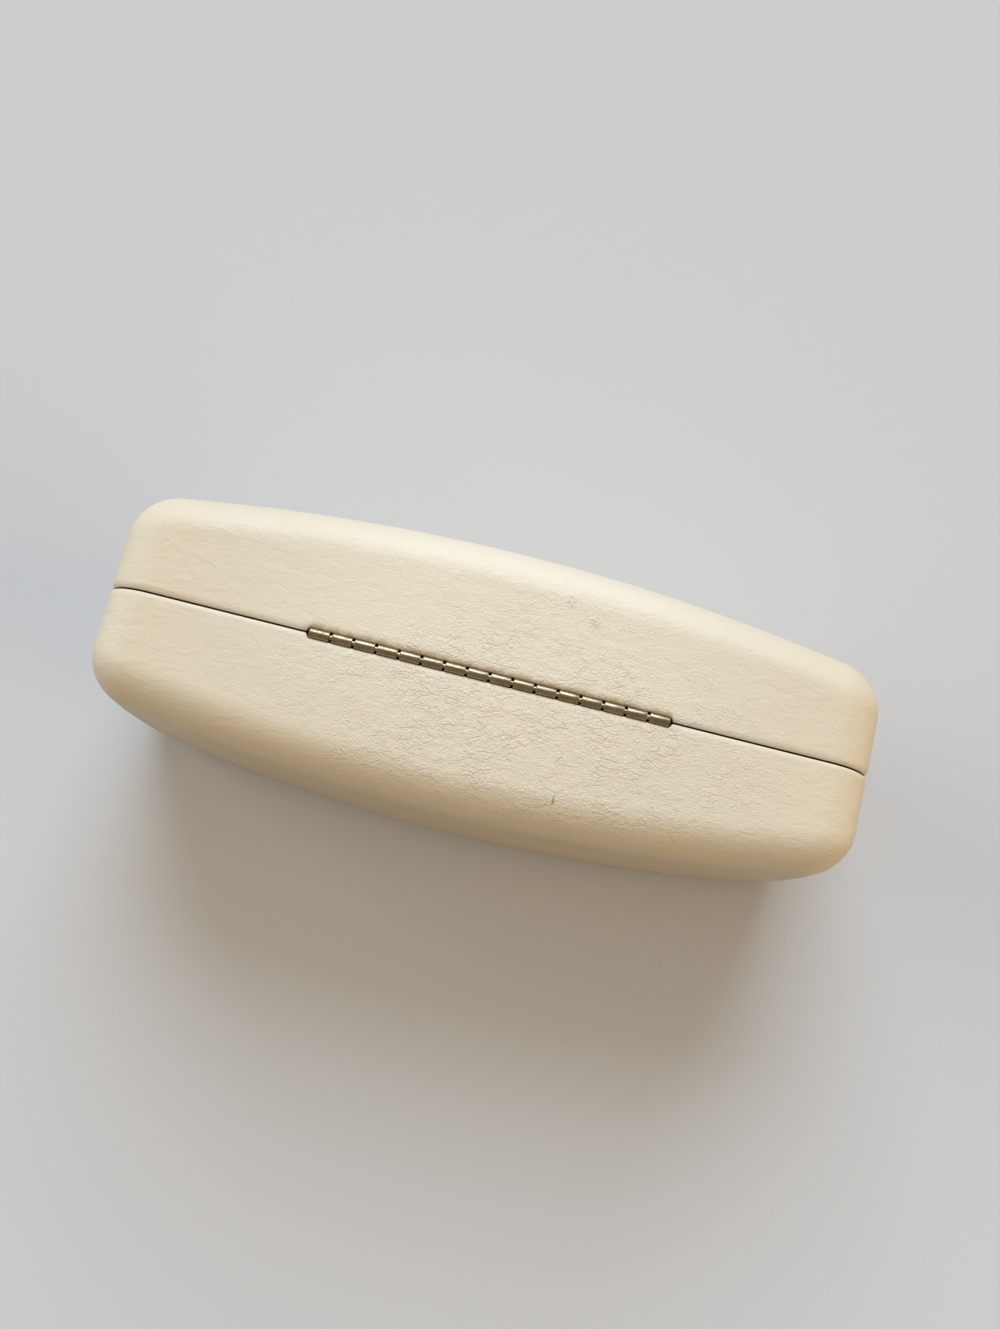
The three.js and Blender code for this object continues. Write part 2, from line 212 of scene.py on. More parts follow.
class StudioSet(bpy.types.PropertyGroup):
    """Floor, lamps and camera."""

    floor: tint("Floor", (0.62, 0.62, 0.62), "Pale floor")
    floor_bounce: tint("Floor bounce", (0.25, 0.25, 0.25), "What the floor throws back at the case")
    ambient: amount("Ambient", 0.39, "Strength of the even light from all sides")
    ambient_tint: tint("Ambient colour", (1.0, 0.85, 0.70), "Warm light of the room")
    lamp_width: angle("Lamp width", 44, "Softness of the lamps' shadows")
    key_strength: amount("Key strength", 2.87, "Even light from behind, in watts per square metre")
    key_tint: tint("Key colour", (0.70, 0.84, 1.0), "Daylight")
    left_strength: amount("Left strength", 1.03, "Even light on the left end")
    left_tint: tint("Left colour", (0.9, 0.97, 1.0), "Daylight")
    right_strength: amount("Right strength", 0.95, "Even light on the right end")
    right_tint: tint("Right colour", (1.0, 0.72, 0.36), "Warm lamp light")
    focal_pixels: amount("Focal length", 1300.0, "In pixels of the photograph", 5000.0)
    camera_distance: distance("Camera distance", 272.2, "From the middle of the hinge")
    tilt: angle("Tilt", 10.62, "Off the seam's plane")
    yaw: angle("Yaw", -0.41, "One end nearer")
    roll: angle("Roll", 14.09, "Slant of the seam")
    centre: FloatVectorProperty(
        name="Centre", description="Pixel of the middle of the hinge", default=(489.3, 677.4), size=2
    )


class CaseSettings(bpy.types.PropertyGroup):
    """All settings of the case."""

    form: PointerProperty(type=CaseForm)
    layers: PointerProperty(type=CaseLayers)
    hinge: PointerProperty(type=PianoHinge)
    inside: PointerProperty(type=ClipsAndGusset)
    finishes: PointerProperty(type=CaseFinishes)
    studio: PointerProperty(type=StudioSet)


def levels(case):
    """Places that follow from the settings; offsets are measured inwards from the outer surface."""
    form, layers, hinge, inside = case.form, case.layers, case.hinge, case.inside
    at = SimpleNamespace()
    at.hinge_half = (hinge.knuckle_count * hinge.knuckle_pitch - hinge.knuckle_gap) / 2
    at.bore = hinge.pin_diameter / 2 + hinge.pin_clearance
    at.knuckle = at.bore + hinge.leaf_thickness
    at.shell_inner = layers.cover + layers.bond_line + layers.shell
    at.leaf_inner = at.shell_inner + layers.bond_line + hinge.leaf_thickness
    at.leaf_z = form.depth - at.leaf_inner
    at.hem_outer = at.shell_inner + layers.bond_line
    at.hem_inner = at.hem_outer + layers.cover
    at.lining_outer = max(at.hem_inner, at.leaf_inner) + layers.lining_clearance
    at.lining_inner = at.lining_outer + layers.lining
    at.padding_top = layers.cover + layers.bond_line
    at.padding_bottom = at.padding_top + layers.padding
    at.lining_top = at.padding_bottom + 2 * layers.bond_line + layers.shell
    at.lining_bottom = at.lining_top + layers.lining
    at.relief = at.knuckle + hinge.clearance
    at.clip_half = hinge.tab_offset + hinge.leaf_thickness + inside.clip_clearance
    at.clip_foot_z = at.leaf_z - hinge.tab_height - inside.clip_clearance
    at.notch = at.clip_half + inside.clip_thickness + inside.notch_clearance
    return at


# Forms


def smooth(share):
    share = np.clip(share, 0, 1)
    return share * share * (3 - 2 * share)


def sag(reach, radius):
    return radius - np.sqrt(radius**2 - reach**2)


class HalfForm:
    """Dished form that every layer of a half follows, as rings of points round the base's half."""

    LEAST_CORNER = 0.8 * MM
    # Points lie closer together from half a ramp before the hinge's ends to one and a half past them
    CLOSE_FROM, CLOSE_TO = 0.5, 1.5
    CLOSE_STEPS = 8
    OUTER_SHARE = 0.24

    def __init__(self, case, line_steps, corner_steps, end_steps):
        self.form = case.form
        self.at = levels(case)
        self.ramp = case.hinge.relief_ramp
        self.line_steps = line_steps
        self.corner_steps = corner_steps
        self.end_steps = end_steps
        self.side_steps = 2 * corner_steps + end_steps

    def outline(self, inset):
        """Plan outline set in from the outer wall: back, right end, front and left end."""
        form = self.form
        half_depth = form.depth / 2 - inset
        corner = max(form.corner_radius - inset, self.LEAST_CORNER)
        end = form.end_radius - inset
        end_x = form.length / 2 - form.end_radius
        corner_z = half_depth - corner
        corner_x = end_x + math.sqrt((end - corner) ** 2 - corner_z**2)
        end_angle = math.asin(corner_z / (end - corner))
        line = self.stations(corner_x)
        turn = np.linspace(math.pi / 2, end_angle, self.corner_steps + 1)
        bow = np.linspace(end_angle, -end_angle, self.end_steps + 1)[1:-1]
        arc = np.column_stack([corner_x + corner * np.cos(turn), corner_z + corner * np.sin(turn)])
        bowed = np.column_stack([end_x + end * np.cos(bow), end * np.sin(bow)])
        back = np.column_stack([line, np.full_like(line, half_depth)])
        right = np.concatenate([arc, bowed, arc[::-1] * (1, -1)])
        points = np.concatenate([back, right, -back, -right])
        return points[:, 0], points[:, 1] + form.depth / 2

    def stations(self, corner_x):
        """Places along the straight front and back, closer together at the hinge's ends."""
        near = self.at.hinge_half - self.CLOSE_FROM * self.ramp
        far = self.at.hinge_half + self.CLOSE_TO * self.ramp
        outer = round((self.line_steps - 2 * self.CLOSE_STEPS) * self.OUTER_SHARE)
        middle = self.line_steps - 2 * (self.CLOSE_STEPS + outer)
        knots = (-corner_x, -far, -near, near, far, corner_x)
        counts = (outer, self.CLOSE_STEPS, middle, self.CLOSE_STEPS, outer)
        runs = [np.linspace(a, b, n + 1)[1:] for a, b, n in zip(knots, knots[1:], counts)]
        return np.concatenate(runs)[:-1]

    def crown(self, x, z):
        form = self.form
        return form.thickness / 2 - sag(x, form.crown_radius) - sag(z - form.depth / 2, form.cross_radius)

    def beside_hinge(self, x, z, margin=0.0):
        """1 along the hinge, falling to 0 past its ends and everywhere else."""
        share = (self.at.hinge_half + margin + self.ramp - np.abs(x)) / self.ramp
        return smooth(share) * (z > self.form.depth / 2)

    def ring(self, inset, height):
        x, z = self.outline(inset)
        return np.column_stack([x, np.broadcast_to(height(x, z), x.shape), z])

    def dish(self, wall, crown, edge=None, wall_steps=1, edge_steps=8, first_step=0):
        """Rings from an edge, up the wall and round to the crown's outline."""
        radius = self.form.edge_radius - wall
        rings = []
        for step in range(first_step, edge_steps + 1):
            turn = math.pi / 2 * step / edge_steps
            inset = wall + radius * (1 - math.cos(turn))
            drop = crown + radius * (1 - math.sin(turn))
            rings.append(self.ring(inset, lambda x, z: self.crown(x, z) - drop))
        if edge is None:
            return rings
        low = self.ring(wall, edge)
        return [low + (rings[0] - low) * step / wall_steps for step in range(wall_steps)] + rings

    def close_crown(self, ring, first, spare, offset):
        """Points and faces over the crown inside a ring: columns from back to front, a strip at each end."""
        lines, sides = self.line_steps, self.side_steps
        order = first + np.arange(len(ring))
        back, right, front, left = np.split(order, np.cumsum([lines - 1, sides + 1, lines - 1]))
        tops = np.concatenate([left[-1:], back, right[:1]])
        bottoms = np.concatenate([left[:1], front[::-1], right[-1:]])
        share = np.linspace(0, 1, sides + 1)[1:-1, None]
        top, bottom = ring[tops - first], ring[bottoms - first]
        inner = top[:, None] + (bottom - top)[:, None] * share
        inner[..., 1] = self.crown(inner[..., 0], inner[..., 2]) - offset
        table = np.empty((lines + 1, sides + 1), int)
        table[:, 0], table[:, -1] = tops, bottoms
        table[:, 1:-1] = spare + np.arange((lines + 1) * (sides - 1)).reshape(lines + 1, -1)
        columns = [left[::-1], *table, right]
        faces = []
        for near, far in zip(columns, columns[1:]):
            for k in range(sides):
                corners = dict.fromkeys((int(near[k]), int(near[k + 1]), int(far[k + 1]), int(far[k])))
                faces.append(tuple(corners))
        return inner.reshape(-1, 3), faces

    def mesh(self, name, rings, top, bottom):
        """A closed mesh over rings from the outer crown's outline, round the edge, to the inner crown's."""
        count = len(rings[0])
        points = np.concatenate(rings)
        faces = []
        after = np.roll(np.arange(count), -1)
        for k in range(len(rings) - 1):
            near = k * count + np.arange(count)
            far = near + count
            faces += np.column_stack([near, k * count + after, (k + 1) * count + after, far]).tolist()
        for first, ring, offset in ((0, rings[0], top), (len(points) - count, rings[-1], bottom)):
            inner, over = self.close_crown(ring, first, len(points), offset)
            points = np.concatenate([points, inner])
            faces += over
        return closed_mesh(name, points, faces)


def closed_mesh(name, points, faces):
    """A smooth mesh with merged doubles and outward faces."""
    mesh = bpy.data.meshes.new(name)
    mesh.from_pydata(np.asarray(points).tolist(), [], faces)
    bm = bmesh.new()
    bm.from_mesh(mesh)
    bmesh.ops.remove_doubles(bm, verts=bm.verts, dist=SAME_POINT)
    bmesh.ops.dissolve_degenerate(bm, edges=bm.edges, dist=SAME_POINT / 10)
    bmesh.ops.recalc_face_normals(bm, faces=bm.faces)
    return smooth_mesh(bm, mesh)


def smooth_mesh(bm, mesh, sharp_edge=None):
    """Puts worked geometry into a mesh, smooth but for edges past an angle."""
    bm.to_mesh(mesh)
    bm.free()
    mesh.shade_smooth()
    if sharp_edge:
        mesh.set_sharp_from_angle(angle=sharp_edge)
    return mesh


def read_vectors(collection, key):
    """Vectors of a mesh's points, one to a row."""
    flat = np.empty(len(collection) * 3, np.float32)
    collection.foreach_get(key, flat)
    return flat.reshape(-1, 3).astype(float)


def add_piece(mesh, material, packed):
    """A new object at the origin with its finish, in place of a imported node."""
    mesh.materials.clear()
    mesh.materials.append(material)
    piece = bpy.data.objects.new(mesh.name, mesh)
    bpy.context.scene.collection.objects.link(piece)
    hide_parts(packed)
    return piece


def add_half(half, mesh, material, packed):
    """A piece of one half; the lid's is the base's, turned about the upright axis."""
    if half == "lid":
        mesh.transform(Matrix.Rotation(math.pi, 4, "Z"))
    piece = add_piece(mesh, material, f"{half}_{packed}")
    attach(piece, half)
    return piece


def strip_mesh(name, path, stations, thickness):
    """A closed strip: a path in the YZ plane, run along X through the stations."""
    tangent = np.gradient(path, axis=0)
    tangent /= np.linalg.norm(tangent, axis=1)[:, None]
    normal = np.column_stack([-tangent[:, 1], tangent[:, 0]])
    rows, columns = len(path), len(stations)
    sides = []
    for sign in (1, -1):
        y, z = (path + sign * thickness / 2 * normal).T
        x = np.broadcast_to(stations, (rows, columns))
        sides.append(np.stack([x, *(np.broadcast_to(v[:, None], x.shape) for v in (y, z))], axis=-1))
    points = np.concatenate([s.reshape(-1, 3) for s in sides])
    upper = np.arange(rows * columns).reshape(rows, columns)
    lower = upper + rows * columns
    faces = []
    for grid in (upper, lower):
        corners = (grid[:-1, :-1], grid[1:, :-1], grid[1:, 1:], grid[:-1, 1:])
        faces += np.stack(corners, -1).reshape(-1, 4).tolist()
    for edge in (np.s_[0, :], np.s_[-1, :], np.s_[:, 0], np.s_[:, -1]):
        a, b = upper[edge], lower[edge]
        faces += np.column_stack([a[:-1], a[1:], b[1:], b[:-1]]).tolist()
    mesh = closed_mesh(name, points, faces)
    mesh.set_sharp_from_angle(angle=SHARP_EDGE)
    return mesh


# Nodes


def feed(tree, value, socket):
    """Links a socket or sets a plain value; a colour comes as its three parts."""
    if isinstance(value, bpy.types.NodeSocket):
        tree.links.new(value, socket)
    else:
        socket.default_value = (*value, 1.0) if socket.type == "RGBA" else value


def node(tree, kind, inputs=None, **settings):
    """A new node; inputs are values or sockets, by name or number."""
    made = tree.nodes.new(kind)
    for key, value in settings.items():
        setattr(made, key, value)
    for key, value in (inputs or {}).items():
        feed(tree, value, made.inputs[key])
    return made


def math_node(tree, operation, *values):
    return node(tree, "ShaderNodeMath", dict(enumerate(values)), operation=operation).outputs[0]


def times(tree, first, second):
    return math_node(tree, "MULTIPLY", first, second)


def largest(tree, first, *others):
    for value in others:
        first = math_node(tree, "MAXIMUM", first, value)
    return first


def fade(tree, value, across=(0.0, 1.0), to=(0.0, 1.0)):
    """A value moved smoothly from one range to another."""
    settings = {"Value": value, **dict(enumerate((*across, *to), 1))}
    return node(tree, "ShaderNodeMapRange", settings, interpolation_type="SMOOTHSTEP").outputs[0]


def cloud(tree, place, size, **settings):
    """Noise with features of about a size, in millimetres."""
    settings.update({"Vector": place, "Scale": math_node(tree, "DIVIDE", 1.0, size)})
    return node(tree, "ShaderNodeTexNoise", settings).outputs


def blend_colours(tree, share, first, second):
    mixed = node(tree, "ShaderNodeMix", data_type="RGBA")
    for key, value in (("Factor", share), ("A", first), ("B", second)):
        feed(tree, value, next(s for s in mixed.inputs if s.name == key and s.enabled))
    return next(s for s in mixed.outputs if s.enabled)


def object_millimetres(tree, scale=(1.0, 1.0, 1.0)):
    """Object coordinates in millimetres, drawn out where the scale is below 1."""
    place = tree.nodes.new("ShaderNodeTexCoord").outputs["Object"]
    settings = {"Vector": place, "Scale": [s / MM for s in scale]}
    return node(tree, "ShaderNodeMapping", settings).outputs[0]


def separate_millimetres(tree):
    return node(tree, "ShaderNodeSeparateXYZ", {0: object_millimetres(tree)}).outputs


# Shader groups

CLOUD_EDGES = (0.3, 0.7)
PATCH_EDGES = (0.25, 1.0)
BACK_HEIGHTS = (40.0, 60.0)
CREASE_WARP = 1.1
WRINKLE_DRAW = (0.5, 1.0, 1.0)


def shader_group(name, inputs, outputs):
    """An empty shader group with float sockets; inputs come with their defaults."""
    tree = bpy.data.node_groups.new(name, "ShaderNodeTree")
    for label, default in inputs.items():
        socket = tree.interface.new_socket(label, in_out="INPUT", socket_type="NodeSocketFloat")
        socket.default_value = default
    for label in outputs:
        tree.interface.new_socket(label, in_out="OUTPUT", socket_type="NodeSocketFloat")
    return tree, tree.nodes.new("NodeGroupInput").outputs, tree.nodes.new("NodeGroupOutput").inputs


def mottle_group():
    """Cloudy unevenness, shared by most finishes."""
    tree, given, out = shader_group("Mottle", {"Size": 10.0, "Roughness": 0.5}, ["Mask"])
    settings = {"Detail": 3.0, "Roughness": given["Roughness"]}
    clouds = cloud(tree, object_millimetres(tree), given["Size"], **settings)["Fac"]
    feed(tree, fade(tree, clouds, CLOUD_EDGES), out["Mask"])
    return tree


def patch_group():
    """A soft elliptical patch on the back wall, in millimetres."""
    inputs = {"Middle X": 0.0, "Middle Y": 0.0, "Half Length": 40.0, "Half Height": 12.0}
    tree, given, out = shader_group("Back Patch", inputs, ["Mask"])
    place = separate_millimetres(tree)
    squares = []
    for axis, half in (("X", "Half Length"), ("Y", "Half Height")):
        off = math_node(tree, "SUBTRACT", place[axis], given[f"Middle {axis}"])
        squares.append(math_node(tree, "POWER", math_node(tree, "DIVIDE", off, given[half]), 2.0))
    away = math_node(tree, "SQRT", math_node(tree, "ADD", *squares))
    patch = fade(tree, away, PATCH_EDGES, (1.0, 0.0))
    feed(tree, times(tree, patch, fade(tree, place["Z"], BACK_HEIGHTS)), out["Mask"])
    return tree


def crease_group():
    """Creases of leatherette: a net of small cells with sunken edges, heights in millimetres."""
    inputs = {"Cell": 0.9, "Depth": 0.03, "Width": 0.2, "Draw": 0.7}
    tree, given, out = shader_group("Leather Creases", inputs, ["Height", "Crease"])
    drawn = node(tree, "ShaderNodeCombineXYZ", {"X": given["Draw"], "Y": 1.0, "Z": 1.0}).outputs[0]
    settings = {0: object_millimetres(tree), 1: drawn}
    place = node(tree, "ShaderNodeVectorMath", settings, operation="MULTIPLY").outputs[0]
    warp = cloud(tree, place, given["Cell"], Detail=3.0)["Color"]
    settings = {0: warp, 1: times(tree, given["Cell"], CREASE_WARP), 2: place}
    warped = node(tree, "ShaderNodeVectorMath", settings, operation="MULTIPLY_ADD").outputs[0]
    settings = {"Vector": warped, "Scale": math_node(tree, "DIVIDE", 1.0, given["Cell"])}
    cells = node(tree, "ShaderNodeTexVoronoi", settings, feature="DISTANCE_TO_EDGE").outputs["Distance"]
    net = fade(tree, cells, (0.0, given["Width"]))
    feed(tree, times(tree, net, given["Depth"]), out["Height"])
    feed(tree, math_node(tree, "SUBTRACT", 1.0, net), out["Crease"])
    return tree


def wrinkle_group():
    """Soft wrinkles along the length and a fine grain, heights in millimetres."""
    inputs = {"Wrinkle": 2.2, "Wrinkle Depth": 0.145, "Grain": 0.3, "Grain Depth": 0.014}
    tree, given, out = shader_group("Leather Wrinkles", inputs, ["Height"])
    drawn = object_millimetres(tree, WRINKLE_DRAW)
    folds = cloud(tree, drawn, given["Wrinkle"], Detail=2.5, Distortion=0.9)["Fac"]
    grain = cloud(tree, object_millimetres(tree), given["Grain"], Detail=2.0)["Fac"]
    fine = times(tree, grain, given["Grain Depth"])
    feed(tree, math_node(tree, "MULTIPLY_ADD", folds, given["Wrinkle Depth"], fine), out["Height"])
    return tree


def pile_group():
    """Short pile: tiny tufts that lean in patches, heights in millimetres."""
    inputs = {"Tuft": 0.25, "Depth": 0.08, "Patch": 1 / 0.07}
    tree, given, out = shader_group("Pile", inputs, ["Height", "Lean"])
    place = object_millimetres(tree)
    tufts = cloud(tree, place, given["Tuft"], Detail=2.0)["Fac"]
    feed(tree, times(tree, tufts, given["Depth"]), out["Height"])
    lean = cloud(tree, place, given["Patch"], Detail=2.0, Distortion=0.4)["Fac"]
    feed(tree, fade(tree, lean, CLOUD_EDGES), out["Lean"])
    return tree


def use_group(tree, name, build, **inputs):
    """Places a shader group, which is built once, with its own values."""
    group = bpy.data.node_groups.get(name) or build()
    named = {key.replace("_", " "): value for key, value in inputs.items()}
    return node(tree, "ShaderNodeGroup", named, node_tree=group).outputs


def mottle(tree, size, roughness=0.5):
    return use_group(tree, "Mottle", mottle_group, Size=size, Roughness=roughness)["Mask"]


def back_patch(tree, middle_x, middle_y, half_length, half_height):
    """A soft patch on the back wall, in millimetres."""
    middle = {"Middle_X": middle_x, "Middle_Y": middle_y}
    half = {"Half_Length": half_length, "Half_Height": half_height}
    return use_group(tree, "Back Patch", patch_group, **middle, **half)["Mask"]


# Finishes

# Back patches: their middles and half sizes, in millimetres
WORN_LID = (10.0, -11.0, 84.0, 27.0)
WORN_BASE = (14.0, 9.0, 66.0, 25.0)
# Painted light over the middle of the base's back wall and its top edge
PAINTED_LIGHT_PATCH = (0.0, 11.0, 74.0, 38.0)
DENTS = ((13.0, 20.2, 1.6, 2.0), (19.0, 17.0, 2.2, 1.7))
SCRATCH = (18.9, -21.9, 0.34, 1.5)

# Depths in millimetres, from unworn to most worn leatherette
NET_DEPTH = (0.01, 0.052)
FOLD_DEPTH = (0.008, 0.09)
PUCKER_DEPTH = 0.19
STREAK_DEPTH = 0.012
PORE_DEPTH = 0.06

# Shares of wear, warmth, painted light and shade, stain and tarnish
BASE_WEAR = 0.56
WEAR_PATCHES = (0.55, 1.0)
FOLD_BREAKS = (0.12, 1.25)
MOST_FOLDED = 1.2
END_WARMTH = (0.0, 0.32)
# Painted warm shade on the crowns
CROWN_WARM_SHADE = (0.0, 0.35)
CLOUD_YELLOWING = 0.12
PAINTED_LIGHT_SHARE = 0.9
# A stain beside the hinge, partly painted shade
STAIN_SHARE = (0.19, 0.66)
# Painted shade along the base's rims
RIM_SHADE = 0.07
# Painted shade in the creases
NET_SHADE = (0.0, 0.09)
FOLD_SHADE = (0.0, 0.16)
TARNISH_SHARE = (0.15, 0.7)

# Where the ends turn warmer and the crowns take painted warm shade, in millimetres from the middle and from
# the seam
END_REACH = (40.0, 85.0)
CROWN_SHADE_REACH = (19.0, 29.0)
LID_CROWN_SHADE_REACH = (19.0, 27.0)

LEATHER_ROUGHNESS = (0.46, 0.56)
HINGE_ROUGHNESS = (0.3, 0.44)
STEEL_ROUGHNESS = (0.34, 0.5)


def new_finish(name, **constants):
    """A material with one Principled shader; constants are set on the shader's own sockets."""
    material = bpy.data.materials.new(name)
    material.use_nodes = True
    tree = material.node_tree
    sockets = tree.nodes["Principled BSDF"].inputs
    for key, value in constants.items():
        feed(tree, value, sockets[key.replace("_", " ")])
    return material, tree, sockets


def raise_surface(tree, sockets, height):
    """Bumps by a height in millimetres."""
    bump = node(tree, "ShaderNodeBump", {"Height": height, "Distance": MM, "Strength": 1.0})
    feed(tree, bump.outputs[0], sockets["Normal"])


def finish(name, build):
    """A material that is built once."""
    return bpy.data.materials.get(name) or build(name, bpy.context.scene.sunglasses_case)


def darker(colour, share):
    return [c * share for c in colour]


def leather_wear(tree):
    """Masks of the back wall: where it is creased, and where it is folded."""
    worn = back_patch(tree, *WORN_LID)
    worn = math_node(tree, "MULTIPLY_ADD", back_patch(tree, *WORN_BASE), BASE_WEAR, worn)
    patches = mottle(tree, size=7.0, roughness=0.6)
    creased = times(tree, worn, fade(tree, patches, (0.1, 0.9), WEAR_PATCHES))
    breaks = mottle(tree, size=2.4, roughness=0.6)
    folded = times(tree, creased, fade(tree, breaks, (0.15, 0.85), FOLD_BREAKS))
    return creased, folded


def leather_skin(tree, case, clouds):
    """Clean leatherette: yellowed at the ends and on the crowns, rubbed pale along the base's back."""
    # Leatherette before its stains and painted shade: warmer towards the ends, with painted warm shade on
    # the crowns, most of all on the lid's, and painted light over the middle of the base's back.
    colours = case.finishes
    place = separate_millimetres(tree)
    ends = fade(tree, math_node(tree, "ABSOLUTE", place["X"]), END_REACH, END_WARMTH)
    # Painted warm shade on both crowns, more on the lid's, whose lower fillet faces away from the key lamp
    arch = times(tree, math_node(tree, "POWER", place["X"], 2.0), MM / (2 * case.form.crown_radius))
    level = math_node(tree, "ADD", math_node(tree, "ABSOLUTE", place["Y"]), arch)
    on_lid = math_node(tree, "LESS_THAN", place["Y"], 0.0)
    lid_crown_shade = times(tree, on_lid, fade(tree, level, LID_CROWN_SHADE_REACH, CROWN_WARM_SHADE))
    crowns = math_node(tree, "ADD", fade(tree, level, CROWN_SHADE_REACH, CROWN_WARM_SHADE), lid_crown_shade)
    warmth_and_shade = math_node(tree, "MULTIPLY_ADD", clouds, CLOUD_YELLOWING, largest(tree, ends, crowns))
    skin = blend_colours(tree, warmth_and_shade, colours.leather, colours.leather_warm_tone_and_shade)
    # Painted light: paler over the middle of the base's back wall and its top edge
    rubbed = times(tree, back_patch(tree, *PAINTED_LIGHT_PATCH), PAINTED_LIGHT_SHARE)
    return blend_colours(tree, rubbed, skin, colours.leather_painted_light)


def leatherette(name, case):
    """Ivory leatherette: finely creased, most of all beside the hinge, and stained along it, partly with
    painted shade; painted shade also darkens the creases and the base's rims.
    """
    material, tree, sockets = new_finish(name, Specular_IOR_Level=0.4)
    clouds = mottle(tree, size=24.0)
    creased, folded = leather_wear(tree)
    all_folded = (0.0, MOST_FOLDED)
    sizes = {"Cell": 0.7, "Depth": fade(tree, creased, to=NET_DEPTH), "Width": 0.3, "Draw": 0.8}
    net = use_group(tree, "Leather Creases", crease_group, **sizes)
    sizes = {"Cell": 1.9, "Depth": fade(tree, folded, all_folded, FOLD_DEPTH), "Width": 0.1, "Draw": 0.54}
    folds = use_group(tree, "Leather Creases", crease_group, **sizes)
    wrinkles = use_group(tree, "Leather Wrinkles", wrinkle_group)["Height"]
    heights = math_node(tree, "ADD", math_node(tree, "ADD", net["Height"], folds["Height"]), wrinkles)
    dents = largest(tree, *(back_patch(tree, *dent) for dent in DENTS))
    puckers = times(tree, dents, mottle(tree, size=0.6))
    raise_surface(tree, sockets, math_node(tree, "MULTIPLY_ADD", puckers, PUCKER_DEPTH, heights))
    rim = node(tree, "ShaderNodeAttribute", attribute_name="rim").outputs["Fac"]
    hinge_rim = node(tree, "ShaderNodeAttribute", attribute_name="hinge_rim").outputs["Fac"]
    # A stain beside the base's hinge, partly painted shade of the rim that rolls away from the key lamp
    smears = mottle(tree, size=2.6, roughness=0.6)
    stain = times(tree, hinge_rim, fade(tree, smears, to=STAIN_SHARE))
    edges = math_node(tree, "MULTIPLY_ADD", rim, RIM_SHADE, stain)
    # Painted shade in the creases
    in_net = times(tree, net["Crease"], fade(tree, creased, (0.1, 1.0), NET_SHADE))
    in_folds = times(tree, folds["Crease"], fade(tree, folded, (0.3, MOST_FOLDED), FOLD_SHADE))
    # Painted shade with the stain and a scratch, in one mask
    shade_and_dirt = largest(tree, in_net, in_folds, edges, back_patch(tree, *SCRATCH))
    skin = leather_skin(tree, case, clouds)
    feed(tree, blend_colours(tree, shade_and_dirt, skin, case.finishes.leather_shade_and_dirt), sockets["Base Color"])
    feed(tree, fade(tree, clouds, to=LEATHER_ROUGHNESS), sockets["Roughness"])
    return material


def velour(name, case):
    """Short velour pile."""
    material, tree, sockets = new_finish(
        name, Roughness=0.95, Specular_IOR_Level=0.15, Sheen_Weight=0.35, Sheen_Roughness=0.45
    )
    pile = use_group(tree, "Pile", pile_group, Tuft=0.3, Depth=0.12)
    colour = case.finishes.velour
    feed(tree, blend_colours(tree, pile["Lean"], darker(colour, 0.86), colour), sockets["Base Color"])
    raise_surface(tree, sockets, pile["Height"])
    return material


def hinge_metal(name, case):
    """Worn nickel over brass, brown where it isn't rubbed."""
    material, tree, sockets = new_finish(name, Metallic=1.0)
    colours = case.finishes
    brushed = object_millimetres(tree, scale=(0.6, 9.0, 9.0))
    streak = cloud(tree, brushed, 1.0, Detail=2.0)["Fac"]
    film = mottle(tree, size=1.6, roughness=0.7)
    film = times(tree, film, fade(tree, streak, (0.35, 0.65), TARNISH_SHARE))
    feed(tree, blend_colours(tree, film, colours.hinge, colours.tarnish), sockets["Base Color"])
    feed(tree, fade(tree, film, (0.0, 0.8), HINGE_ROUGHNESS), sockets["Roughness"])
    raise_surface(tree, sockets, times(tree, streak, STREAK_DEPTH))
    return material


def plain_steel(name, colour):
    """Steel with faint rolling marks."""
    material, tree, sockets = new_finish(name, Metallic=1.0)
    marks = mottle(tree, size=6.0)
    feed(tree, blend_colours(tree, marks, darker(colour, 0.7), colour), sockets["Base Color"])
    feed(tree, fade(tree, marks, to=STEEL_ROUGHNESS), sockets["Roughness"])
    return material


def pressed_steel(name, case):
    return plain_steel(name, case.finishes.steel)


def spring_steel(name, case):
    return plain_steel(name, case.finishes.spring)


def foam(name, case):
    """Closed-cell foam."""
    material, tree, sockets = new_finish(name, Roughness=0.95, Specular_IOR_Level=0.2)
    pores = mottle(tree, size=0.8, roughness=0.7)
    colour = case.finishes.foam
    feed(tree, blend_colours(tree, pores, darker(colour, 0.75), colour), sockets["Base Color"])
    raise_surface(tree, sockets, times(tree, pores, PORE_DEPTH))
    return material


# Pieces


